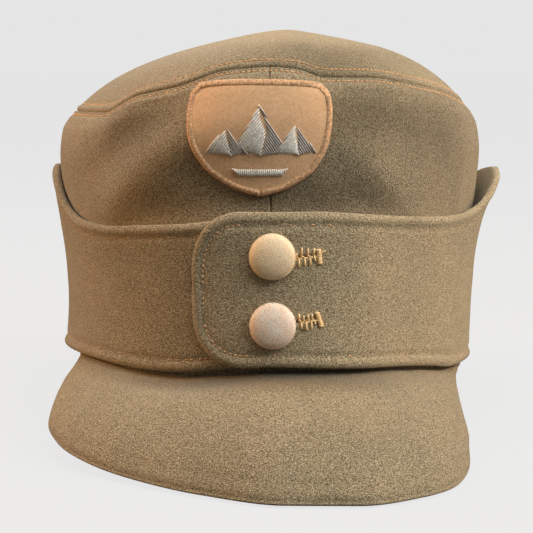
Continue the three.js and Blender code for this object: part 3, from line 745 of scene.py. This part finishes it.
def flapSkin(turn, height, side):
    # A point of the flap's surface: side is -1 on its inner face and 1 on its outer one
    turn, height, side = np.broadcast_arrays(turn, height, side)
    distance = edgeDistance(np.interp(turn, flapTurns, flapS), height)
    half = flap["cloth"] / 2
    rounded = roundEdge(distance, half)
    base = flapBase(turn, height)
    puff = flap["edgePuff"] * bell(distance, flap["puffInset"], flap["puffWidth"])
    valley = -flap["stitchValley"] * bell(distance, flap["stitchInset"], flap["valleyWidth"])
    relief = uneven(base, flap["lumps"]) + puff + valley
    onTab = smooth(60, 30, turn)
    aside = np.radians(turn - button["angle"]) * (rimHalfWidth + 8)
    for k in range(2):
        under = np.hypot(aside, height - button["heights"][k])
        relief = relief - button["press"] * bell(under, 0, button["pressWidth"]) * onTab
        end = hole["slits"][k][1][0]
        onSlit = smooth(-1, 1, aside) * smooth(end + 0.8, end - 0.5, aside) * onTab
        off = height - slitHeight(k, aside)
        relief = relief - hole["depth"] * bell(off, 0, hole["slitWidth"]) * onSlit
        relief = relief + hole["lip"] * bell(np.abs(off), 1.5, 0.9) * onSlit
    relief = np.where(side > 0, relief, 0) * rounded
    away = half + side * half * rounded + relief
    return base + outwards(turn) * away[..., None]


holesAt = np.interp(button["angle"], flapTurns, flapS) + 12
turns = np.interp(places(flapS[-1], 1.4, 0.3, 5, spots=[(holesAt, 7, 0.7)]) * flapS[-1], flapS, flapTurns)
low, high = flapEdges(turns)
tabLow, tabHigh = flapLow(np.array(0.0)), flapHigh(np.array(0.0))
slitRows = [(float(slitHeight(k, 12) - tabLow), 1.7, 0.3) for k in range(2)]
shares = 0.004 + 0.992 * places(float(tabHigh - tabLow), 1.15, 0.25, 3.5, spots=slitRows)
heights = low[None, :] + (high - low)[None, :] * shares[:, None]
outer, inner = [flapSkin(turns[None, :], heights, side) for side in (1.0, -1.0)]
flapPiece = clothPiece("ear_flap_wool", outer, inner, flapWool)
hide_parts("ear_flap")
width, length = flap["flat"]
print("ear flap made")


# The peak
def peakMiddle(angle, out):
    angle, out = np.broadcast_arrays(angle, out)
    rim = wall(angle, 0 * angle) + outwards(angle) * peak["gap"]
    rim[..., 2] = rimHeight(angle) + peak["thickness"] / 2
    edge = np.stack([
        peak["halfWidth"] * curve(peakRows, 1, angle),
        -(rimHalfLength + peak["reach"]) * curve(peakRows, 2, angle),
        cap["rimFront"] * curve(peakRows, 3, angle) + peak["thickness"] / 2,
    ], -1)
    span = np.linalg.norm(edge - rim, axis=-1) / peak["reach"]
    arch = peak["arch"] * np.minimum(1, span) * 4 * out * (1 - out)
    point = rim + (edge - rim) * out[..., None] + outwards(angle) * (arch * peak["archLean"])[..., None]
    point[..., 2] += arch
    return point


def peakSkin(angle, out, side):
    angle, out = np.broadcast_arrays(angle, out)
    middle = peakMiddle(angle, out)
    forward = peakMiddle(angle, np.minimum(out + 0.01, 1)) - peakMiddle(angle, np.maximum(out - 0.01, 0))
    right, left = np.minimum(angle + 1, peak["rightEnd"]), np.maximum(angle - 1, peak["leftEnd"])
    aside = peakMiddle(right, out) - peakMiddle(left, out)
    face = unit(np.cross(forward, aside))
    upright = (smooth(0.78, 1, out) + smooth(0.22, 0, out))[..., None]
    face = unit(face * (1 - upright) + np.array([0, 0, 1.0]) * upright)
    reach = np.linalg.norm(peakMiddle(angle, 1 + 0 * out) - peakMiddle(angle, 0 * out), axis=-1)
    half = peak["thickness"] / 2
    distance = (1 - out) * reach
    rounded = roundEdge(distance, peak["edgeRadius"])
    relief = uneven(middle, peak["lumps"]) * rounded
    relief = relief + peak["edgePuff"] * bell(distance, 2.2, 1.4)
    relief = relief - peak["edgeValley"] * bell(distance, 5, 1.5)
    fromRoot = out * reach
    pressed = peak["rootDip"] * smooth(17, 6, fromRoot)
    pressed = pressed * (0.45 + 0.55 * bell(angle, peak["rootDipAngle"], 28))
    if side < 0:
        relief = 0.3 * relief * smooth(2, 8, distance)
        pressed = 0
    relief = relief - pressed
    return middle + face * (side * (half * rounded + relief * smooth(0, 1, distance)))[..., None]


angle = peak["rightEnd"] - (peak["rightEnd"] - peak["leftEnd"]) * places(*peak["roundGrid"])
out = places(*peak["outGrid"], start=False)
outer, inner = [peakSkin(angle[None, :], out[:, None], side) for side in (1, -1)]
# Painted shadow on the peak under the flap's low edge, fading out away from the crown
middle, wide, strength = wool["peakPaintedShade"]
fromRoot = out * np.linalg.norm(peakMiddle(middle, 1.0) - peakMiddle(middle, 0.0))
shadeMask = bell(angle, middle, wide)[None, :] * smooth(23, 8, fromRoot)[:, None] * strength
peakPiece = clothPiece("peak_wool", outer, inner, peakWool, painted_shade=shadeMask)
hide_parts("peak")
print("peak made")


# Topstitching, which shows best in front and sinks into the wool elsewhere
rng = np.random.default_rng(7)


def stitchesOn(place, count, sink, radius, share=0.72):
    # place turns positions, counted in stitches, into points and ways out
    paths = []
    for number in range(count):
        spots = number + 0.5 + share * np.array([-0.5, -0.36, -0.15, 0.15, 0.36, 0.5])
        points, faces = place(spots)
        depth = sink(number / count) + rng.normal(0, 0.07)
        lift = radius * np.array([-1.4, 0.1, 0.6, 0.6, 0.1, -1.4]) - depth
        paths.append(points + faces * lift[:, None])
    return paths


def seamRow(side, row, inFront, behind):
    roundTurns = np.linspace(-180, 180, 1441)
    gone = seamLength(roundTurns) - seamLength(-180.0)
    count = int(gone[-1] / seam["stitchLength"])

    def place(spots):
        at = np.interp((spots * seam["stitchLength"]) % gone[-1], gone, roundTurns)
        beside = 1 + side * row / seamRate(at, side)
        return crownSkin(at, beside), crownFace(at, beside)

    def sink(share):
        return behind + (inFront - behind) * bell(share * 360 - 180, 0, 32)
    return stitchesOn(place, count, sink, seam["thread"])


rows = seamRow(1, seam["topRow"], -0.12, 0.14) + seamRow(-1, seam["sideRow"], 0.06, 0.18)
threads("seam_topstitching", rows, seam["thread"], seamThread)
print("seams stitched")

tangent = unit(np.gradient(outline, axis=0))
inset = outline + np.stack([-tangent[:, 1], tangent[:, 0]], 1) * flap["stitchInset"]
inset = evenly(inset, 0.5)
clear = edgeDistance(inset[:, 0], inset[:, 1]) > flap["stitchInset"] - 0.35
inset = inset[clear & (inset[:, 0] > 0.5)]
insetLength = lengths(inset)


def flapRowPlace(spots):
    at = spots * seam["stitchLength"]
    turn = np.interp(np.interp(at, insetLength, inset[:, 0]), flapS, flapTurns)
    return flapSkin(turn, np.interp(at, insetLength, inset[:, 1]), 1.0), outwards(turn)


def flapRowSink(share):
    return flap["stitchSink"]


# Most of the flap's stitches sink out of sight, and those round the tab's end show best
count = int(insetLength[-1] / seam["stitchLength"])
flapRow = stitchesOn(flapRowPlace, count, flapRowSink, flap["thread"], flap["stitchShare"])
chance = rng.uniform(0, 1, len(flapRow))
onTabEnd = [path[:, 0].mean() < -9 and path[:, 1].mean() < -95 for path in flapRow]
shown = [path for path, c, near in zip(flapRow, chance, onTabEnd) if c < (0.75 if near else 0.1)]
threads("flap_edge_stitching", shown, flap["thread"], seamThread)
print("flap stitched")


# The two worked buttonholes
def onTab(aside, height, lift):
    turn = button["angle"] + np.degrees(np.asarray(aside) / (rimHalfWidth + 8))
    point = flapSkin(turn, np.asarray(height), 1.0)
    return point + outwards(turn) * np.asarray(lift)[..., None]


def sewn(start, end, lift=0.3):
    # One stitch on the tab between two places given as aside and height
    shares = [0, 0.07, 0.3, 0.7, 0.93, 1]
    bow = hole["sink"] * np.array([-1, 0, 0, 0, 0, -1]) + lift * np.array([0, 0.75, 1, 1, 0.75, 0])
    aside, height = [np.interp(shares, (0, 1), ends) for ends in zip(start, end)]
    return onTab(aside, height, bow)


stitches = []
for k, middle in enumerate(button["heights"]):
    for side, rowName in ((1, "above"), (-1, "below")):
        for aside, length in hole[rowName][k]:
            lean = rng.normal(0, 0.18)
            base = slitHeight(k, aside)
            outerEnd = (aside + 0.15 + lean, base + side * length)
            stitches.append(sewn(outerEnd, (aside, base + side * 0.1), 0.34))
            stitches.append(sewn((aside - 0.1, base + side * 0.35), (aside + 1.1, base + side * 0.25), 0.5))
    (highAside, highEnd), (lowAside, lowEnd) = hole["bars"][k]
    for spread in np.linspace(-0.5, 0.5, 5) * hole["barWidth"]:
        ends = rng.normal(0, 0.12, 2)
        stitches.append(sewn((highAside + spread, middle + highEnd + ends[0]),
                             (lowAside + spread, middle + lowEnd + ends[1]), 0.42))
    for share in np.linspace(0.08, 0.92, 8):
        aside = highAside + (lowAside - highAside) * share
        height = middle + highEnd + (lowEnd - highEnd) * share
        half = hole["barWidth"] / 2 + 0.25
        stitches.append(sewn((aside - half, height - 0.1), (aside + half, height + 0.1), 0.7))
loose = np.array(hole["looseEnd"])
share = np.linspace(0, 2, 6)
stitches.append(onTab(np.interp(share, range(3), loose[:, 0]),
                      button["heights"][0] + np.interp(share, range(3), loose[:, 1]),
                      np.linspace(0.3, 1.1, 6)))
threads("buttonhole_stitches", stitches, hole["thread"], holeThread)
print("buttonholes sewn")


# Buttons, with pebbles pressed into their domes
def buttonMaterial(name, base, worn, dirt, speckShare):
    material, tree, shader = newMaterial(name, {"Metallic": 0.05, "Roughness": 0.5})
    colour = layered(tree, base, noise(tree, 260, 4, 0.6), (0.3, 0.7), worn)
    colour = layered(tree, colour, noise(tree, 1300, 2, 0.5), (speckShare, speckShare + 0.06), dirt)
    colour = layered(tree, colour, noise(tree, 2000, 1, 0.5), (0.5, 0.85), dirt)
    colour = blend(tree, stored(tree, "hollow"), colour, dirt)
    feed(tree, shader.inputs["Base Color"], colour)
    bumped(tree, shader, noise(tree, 2600, 3, 0.6), 0.3, 0.1)
    return material


def makeButton(name, node, k, material, seed):
    # A domed button spun round its axis, its face covered in small pebbles
    radius, stand = button["diameter"] / 2, button["stand"]
    brim = stand + button["rim"]
    inside = radius - button["lip"]
    profile = [
        (0, -flap["cloth"]), (button["shank"], -flap["cloth"]), (button["shank"], stand),
        (radius - button["rim"], stand), (radius - 0.15, stand + 0.25), (radius, brim - 0.4),
        (radius, brim - 0.1), (radius - 0.1, brim + 0.1), (inside + 0.08, brim + 0.12), (inside, brim),
    ]
    rise = button["dome"] - button["rim"]
    tilt = np.linspace(0.08, math.pi / 2, 60)
    profile += [(inside * math.cos(a), brim + rise * math.sin(a)) for a in tilt[:-1]]
    profile.append((0, brim + rise))
    shape = bmesh.new()
    line = [shape.verts.new((away, 0, up)) for away, up in profile]
    edges = [shape.edges.new(pair) for pair in zip(line, line[1:])]
    bmesh.ops.spin(shape, geom=line + edges, axis=(0, 0, 1), cent=(0, 0, 0), angle=math.tau, steps=224,
                   use_merge=True)
    bmesh.ops.remove_doubles(shape, verts=shape.verts[:], dist=0.001)
    bmesh.ops.recalc_face_normals(shape, faces=shape.faces[:])

    count = int(math.pi * inside**2 / (button["pebble"] ** 2 * 0.87))
    order = np.arange(count) + 0.5
    golden = order * np.pi * (3 - math.sqrt(5))
    pebbles = np.stack([np.cos(golden), np.sin(golden)], 1) * (inside * np.sqrt(order / count))[:, None]
    pebbles += np.random.default_rng(seed).normal(0, button["pebble"] * 0.16, pebbles.shape)
    hollow = shape.verts.layers.float.new("hollow")
    face = [vertex for vertex in shape.verts if vertex.co.z > brim + 0.14]
    flatPlaces = np.array([vertex.co.xy for vertex in face])
    for start in range(0, len(face), 500):
        gaps = np.linalg.norm(flatPlaces[start:start + 500, None] - pebbles[None], axis=2)
        nearest = np.partition(gaps, 1, axis=1)[:, :2]
        swell = np.clip((nearest.max(1) - nearest.min(1)) / (button["pebble"] * 0.6), 0, 1) ** 0.7
        for vertex, share in zip(face[start:start + 500], swell):
            vertex.co += vertex.normal * float((share - 0.5) * button["pebbleHeight"])
            vertex[hollow] = float(0.5 * (1 - share))

    angle = np.array([button["angle"]])
    height = np.array([button["heights"][k]])
    up = shareUp(angle, height)
    seat = flapBase(angle, height)[0] + outwards(angle)[0] * flap["cloth"]
    turn = Vector((0, 0, 1)).rotation_difference(Vector(crownFace(angle, up)[0])).to_matrix().to_4x4()
    bmesh.ops.scale(shape, vec=(0.001, 0.001, 0.001), verts=shape.verts)
    bmesh.ops.transform(shape, matrix=turn, verts=shape.verts)
    bmesh.ops.translate(shape, vec=inFrame(seat), verts=shape.verts)
    piece = finished(name, shape, material)
    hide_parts(node)


upperMetal = buttonMaterial("metal_upper", (1.0, 0.74, 0.46), (1.0, 0.86, 0.6), (0.6, 0.37, 0.19), 0.8)
lowerMetal = buttonMaterial("metal_lower", (1.0, 0.73, 0.54), (1.0, 0.92, 0.8), (0.46, 0.27, 0.17), 0.7)
makeButton("upper_button_metal", "button_upper", 0, upperMetal, 11)
makeButton("lower_button_metal", "button_lower", 1, lowerMetal, 12)
print("buttons made")

# The badge, a plain shield of twill with embroidered hills over a bar
badge = {
    "width": 50, "height": 42, "thickness": 1.1,
    "gap": 0.45, "angle": -2.5, "drop": 26,
    "bow": 2.5, "border": 2.3, "borderStep": 0.5,
    "borderThread": 0.3, "fillStep": 0.72, "fillThread": 0.36,
    "hills": (
        (((-19.5, -5.5), (-11, 4.2), (-9.4, -5.5)), 0),
        (((-11, 4.2), (-3.2, -5.5), (-9.4, -5.5)), 1),
        (((-10, -5.5), (0, 12), (2.4, 3), (0.4, -5.5)), 0),
        (((0, 12), (10.5, -5.5), (0.4, -5.5), (2.4, 3)), 1),
        (((4.5, -5.5), (12, 6), (13.2, -5.5)), 0),
        (((12, 6), (19.5, -5.5), (13.2, -5.5)), 1),
    ),
    "ground": ((-9.5, -10.6), (9.5, -10.6), (7.6, -13.4), (-7.6, -13.4)),
}
# Up the badge from its point: height share, width share
badgeRows = np.array([
    (0, 0.03), (0.03, 0.2), (0.08, 0.42), (0.25, 0.78), (0.5, 0.96), (0.75, 1), (0.93, 0.97), (1, 0.88),
])


def onBadge(aside, above, lift):
    aside, above, lift = np.broadcast_arrays(aside, above, lift)
    angle = badge["angle"] + np.degrees(aside / rimHalfWidth)
    height = seamHeight(np.array(badge["angle"])) - badge["drop"] + above
    up = shareUp(angle, height)
    return crown(angle, up) + crownFace(angle, up) * lift[..., None]


def twillMaterial(name, dark, light):
    # Diagonal ribs of a twill weave over a mottled ground
    material, tree, shader = newMaterial(name, {"Roughness": 0.85, "Sheen Weight": 0.2})
    values = {"Vector": mapped(tree, (1.7, 0, 1)), "Scale": 620.0, "Distortion": 1.2, "Detail Scale": 1.5}
    wave = newNode(tree, "TexWave", values)
    wave.bands_direction = "DIAGONAL"
    ribs = wave.outputs["Fac"]
    mottle = noise(tree, 900, 3, 0.6)
    colour = layered(tree, blend(tree, ribs, dark, light), mottle, (0.35, 0.75), light)
    feed(tree, shader.inputs["Base Color"], colour)
    bumped(tree, shader, sumOf(tree, ribs, mottle), 0.5, 0.3)
    return material


badgeTwill = twillMaterial("badge_twill", (0.45, 0.23, 0.1), (0.82, 0.5, 0.27))
borderThread = threadMaterial("badge_border_thread", (0.74, 0.43, 0.22), 1100)
silverThread = threadMaterial("badge_light_thread", (0.82, 0.75, 0.68), 1100, 0.7)
greyThread = threadMaterial("badge_shade_thread", (0.46, 0.41, 0.37), 1100, 0.65)

up = (1 - np.cos(np.pi * np.linspace(0, 1, 71))) / 2
across = np.sin(np.pi / 2 * np.linspace(-1, 1, 77))
half = badge["width"] / 2 * curve(badgeRows, 1, up)
bow = badge["bow"] * np.linspace(-1, 1, 77)[None, :] ** 2 * up[:, None] ** 4
aside = half[:, None] * across[None, :]
above = badge["height"] * (up[:, None] - 0.5) - bow
fromSide = np.minimum(half[:, None] - np.abs(aside), badge["height"] * np.minimum(up, 1 - up)[:, None])
raised = badge["thickness"] * np.sqrt(np.clip(fromSide / 0.6, 0.02, 1))
outer, inner = [onBadge(aside, above, badge["gap"] + lift) for lift in (raised, 0)]
patch = clothPiece("badge_patch", outer, inner, badgeTwill)
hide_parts("badge")

# The rolled edge is satin stitch laid across the outline
face = np.stack([aside, above], -1)
edge = evenly(np.concatenate([face[:, -1], face[-1, ::-1], face[::-1, 0]]), badge["borderStep"])
tangent = unit(np.roll(edge, -3, axis=0) - np.roll(edge, 3, axis=0))
inwards = np.stack([-tangent[:, 1], tangent[:, 0]], 1)
depths = badge["border"] * np.array([-0.06, 0.1, 0.35, 0.65, 0.92, 1.0])
lifts = badge["gap"] + badge["thickness"] * np.array([0.1, 0.75, 1.3, 1.3, 1.1, 0.7])
paths = []
for spot, way in zip(edge, inwards):
    paths.append(onBadge(*(spot[:, None] + way[:, None] * depths), lifts))
border = threads("badge_border", paths, badge["borderThread"], borderThread)


def filled(corners, slant, lift):
    # Satin stitches side by side across a flat shape given by its corners
    corners = np.array(corners, float)
    way = np.array([math.cos(slant), math.sin(slant)])
    normal = np.array([-way[1], way[0]])
    levels = corners @ normal
    rows = []
    for level in np.arange(levels.min() + 0.2, levels.max(), badge["fillStep"]):
        cuts = []
        for a, b in zip(corners, np.roll(corners, -1, axis=0)):
            first, second = a @ normal - level, b @ normal - level
            if first * second < 0:
                cuts.append((a + (b - a) * first / (first - second)) @ way)
        cuts.sort()
        for start, end in zip(cuts[::2], cuts[1::2]):
            line = normal[:, None] * level + way[:, None] * np.linspace(start, end, 6)
            heights = badge["gap"] + badge["thickness"] + lift * np.array([-0.8, 0.6, 1, 1, 0.6, -0.8])
            rows.append(onBadge(*line, heights))
    return rows


lightRows, shadeRows = [], []
for corners, shaded in badge["hills"]:
    slant = math.radians(-58 if shaded else 52)
    (shadeRows if shaded else lightRows).extend(filled(corners, slant, 0.35 if shaded else 0.45))
lightRows.extend(filled(badge["ground"], math.pi / 2, 0.4))
hillsLight = threads("badge_hills_light", lightRows, badge["fillThread"], silverThread)
hillsShade = threads("badge_hills_shade", shadeRows, badge["fillThread"], greyThread)
print("badge made")

# Camera, light and floor
view = {
    "place": (-1.93, -688.23, 156.42),
    "down": 8,
    "lens": 1617 * 36 / 533,
    "background": 0.785,
    "floorGlow": 0.77,
    "floorDark": (0.045, 0.045, 0.045),
    "floorPale": (0.05, 0.05, 0.05),
    "floorHalf": 6,
    "floorDrop": 0.0002,
    "surroundings": 0.19,
    "target": (0, 0, 0.07),
}
lamps = {
    "overhead": ((0, -0.35, 1.2), 0.8, 6.1, (0.94, 0.97, 1)),
    "front_right": ((0.55, -0.75, 1.0), 0.7, 3.3, (1, 0.8, 0.4)),
    "far_right": ((0.9, -0.5, 0.8), 0.7, 10.5, (0.8, 0.9, 1)),
    "left_warm": ((-1.0, 0.1, 0.45), 0.6, 9, (1, 0.5, 0.12)),
    "left_back": ((-0.9, 0.5, 0.6), 0.6, 4.5, (0.6, 0.8, 1)),
    "right_warm": ((1.0, 0.1, 0.5), 0.6, 6.5, (1, 0.62, 0.3)),
}
scene = bpy.context.scene
camera = bpy.data.objects.new("camera", bpy.data.cameras.new("camera"))
scene.collection.objects.link(camera)
camera.location = inFrame(np.array(view["place"]))
camera.rotation_euler = (math.radians(90 - view["down"]), 0, 0)
camera.data.sensor_width = 36
camera.data.lens = view["lens"]
camera.data.clip_start = 0.01
scene.camera = camera
scene.view_settings.view_transform = "Standard"

for name, (place, size, power, colour) in lamps.items():
    light = bpy.data.lights.new(name, "AREA")
    light.shape = "DISK"
    light.size = size
    light.energy = power
    light.color = colour
    lamp = bpy.data.objects.new(name, light)
    scene.collection.objects.link(lamp)
    lamp.location = place
    lamp.rotation_euler = (Vector(view["target"]) - Vector(place)).to_track_quat("-Z", "Y").to_euler()


def forCamera(tree, surface, lit, seen):
    # One shader for what the camera sees and another for the light that falls on the cap
    choose = newNode(tree, "MixShader", {
        "Fac": newNode(tree, "LightPath", {}).outputs["Is Camera Ray"],
        1: lit,
        2: seen,
    })
    feed(tree, surface, choose.outputs["Shader"])


world = bpy.data.worlds.new("studio")
scene.world = world
world.use_nodes = True
tree = world.node_tree
tree.nodes.clear()
seen = newNode(tree, "Background", {"Color": (view["background"],) * 3})
around = newNode(tree, "Background", {"Color": (1.0, 1.0, 1.0), "Strength": view["surroundings"]})
forCamera(tree, newNode(tree, "OutputWorld", {}).inputs["Surface"], around.outputs[0], seen.outputs[0])

shape = bmesh.new()
bmesh.ops.create_grid(shape, x_segments=1, y_segments=1, size=view["floorHalf"])
bmesh.ops.translate(shape, vec=(0, 0, -view["floorDrop"]), verts=shape.verts)
mesh = bpy.data.meshes.new("floor")
shape.to_mesh(mesh)
shape.free()
floor = bpy.data.objects.new("floor", mesh)
scene.collection.objects.link(floor)
material, tree, shader = newMaterial("pale_floor", {"Roughness": 0.9, "Specular IOR Level": 0.0})
pale = blend(tree, noise(tree, 3, 2, 0.5), view["floorDark"], view["floorPale"])
feed(tree, shader.inputs["Base Color"], pale)
glow = newNode(tree, "Emission", {"Color": (view["floorGlow"],) * 3})
lit = newNode(tree, "AddShader", {0: shader.outputs["BSDF"], 1: glow.outputs["Emission"]})
output = tree.nodes["Material Output"].inputs["Surface"]
forCamera(tree, output, shader.outputs["BSDF"], lit.outputs["Shader"])
mesh.materials.append(material)
print("camera, light and floor set")
